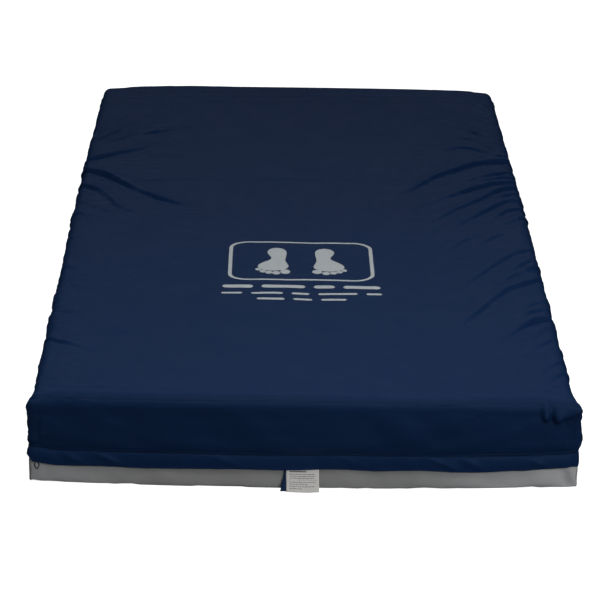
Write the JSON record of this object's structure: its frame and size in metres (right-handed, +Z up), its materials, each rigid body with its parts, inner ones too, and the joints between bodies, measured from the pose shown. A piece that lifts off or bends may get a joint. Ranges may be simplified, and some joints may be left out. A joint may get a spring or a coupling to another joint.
{
  "type": "pressure relief mattress",
  "caption": "Foam mattress for a hospital bed with a zip-off stretch cover, welt flap over the zip, reinforced underside and a layered gel foam core.",
  "frame": {"origin": "centre of the mattress's underside, on the bed deck", "axes": "+Z up, +Y from the foot end to the head end, +X to the right seen from the foot end"},
  "size_m": [0.9254, 2.0434, 0.152],
  "materials": {
    "top_cover_fabric": "coated stretch knit, matt with a soft sheen",
    "flap_fabric": "coated stretch knit, folded and hemmed",
    "bottom_cover_fabric": "coated nylon, matt, fine weave",
    "zip_tape_grey": "woven tape",
    "zip_tape_navy": "woven tape",
    "zip_coil": "nylon coil",
    "zip_fitting": "moulded",
    "zip_stop": "satin",
    "zip_slider": "dark enamel",
    "zip_pull": "dark nickel wire",
    "base_foam": "open-cell polyurethane foam",
    "transition_foam": "open-cell polyurethane foam",
    "heel_foam": "open-cell polyurethane foam, soft grade",
    "rail_foam": "open-cell polyurethane foam, firm grade",
    "gel_foam": "gel-infused memory foam",
    "fire_barrier": "knitted fire barrier",
    "thread": "polyester thread",
    "label_white": "woven-edge satin label",
    "label_navy": "coated cloth tab"
  },
  "bodies": {
    "bottom_cover": {"bottom_cover": "bottom_cover_fabric", "zip_lower_tape": "zip_tape_grey", "zip_lower_coil": "zip_coil", "zip_retainer_box": "zip_fitting", "zip_lower_stop": "zip_stop"},
    "slider": {"zip_slider": "zip_slider"},
    "pull_loop": {"zip_pull_loop": "zip_pull"},
    "foam_core": {"base_foam": "base_foam", "transition_foam": "transition_foam", "heel_foam_insert": "heel_foam", "left_side_rail": "rail_foam", "right_side_rail": "rail_foam", "gel_foam_topper": "gel_foam"},
    "fire_barrier": {"fire_barrier": "fire_barrier"},
    "top_cover": {"top_cover": "top_cover_fabric", "zip_upper_tape": "zip_tape_navy", "zip_upper_coil": "zip_coil", "zip_insertion_pin": "zip_fitting", "zip_upper_stop": "zip_stop", "flap_stitching": "thread", "corner_stitching": "thread"},
    "foot_flap": {"foot_flap": "flap_fabric"},
    "head_flap": {"head_flap": "flap_fabric"},
    "left_flap": {"left_flap": "flap_fabric"},
    "right_flap": {"right_flap": "flap_fabric"},
    "label": {"care_label": "label_white", "label_backing": "label_navy"}
  },
  "joints": [
    {"name": "core_lift", "type": "slide", "parent": "bottom_cover", "child": "foam_core", "axis": [0, 0, 1], "range_m": [0, 0.3]},
    {"name": "barrier_lift", "type": "slide", "parent": "foam_core", "child": "fire_barrier", "axis": [0, 0, 1], "range_m": [0, 0.3]},
    {"name": "cover_lift", "type": "slide", "parent": "fire_barrier", "child": "top_cover", "axis": [0, 0, 1], "range_m": [0, 0.3]},
    {"name": "foot_flap_hinge", "type": "hinge", "parent": "top_cover", "child": "foot_flap", "pos_m": [0, -1.0171, 0.0565], "axis": [-1, 0, 0], "range_deg": [0, 120]},
    {"name": "head_flap_hinge", "type": "hinge", "parent": "top_cover", "child": "head_flap", "pos_m": [0, 1.0171, 0.0565], "axis": [1, 0, 0], "range_deg": [0, 120]},
    {"name": "left_flap_hinge", "type": "hinge", "parent": "top_cover", "child": "left_flap", "pos_m": [-0.4581, 0, 0.0565], "axis": [0, 1, 0], "range_deg": [0, 120]},
    {"name": "right_flap_hinge", "type": "hinge", "parent": "top_cover", "child": "right_flap", "pos_m": [0.4581, 0, 0.0565], "axis": [0, -1, 0], "range_deg": [0, 120]},
    {"name": "slider_travel", "type": "slide", "parent": "bottom_cover", "child": "slider", "axis": [1, 0, 0], "range_m": [0, 0.875]},
    {"name": "pull_swing", "type": "hinge", "parent": "slider", "child": "pull_loop", "pos_m": [-0.4455, -1.01765, 0.0432], "axis": [0, 1, 0], "range_deg": [-80, 80]},
    {"name": "label_hinge", "type": "hinge", "parent": "bottom_cover", "child": "label", "pos_m": [-0.0045, -1.0208, 0.0323], "axis": [-1, 0, 0], "range_deg": [0, 90]}
  ]
}
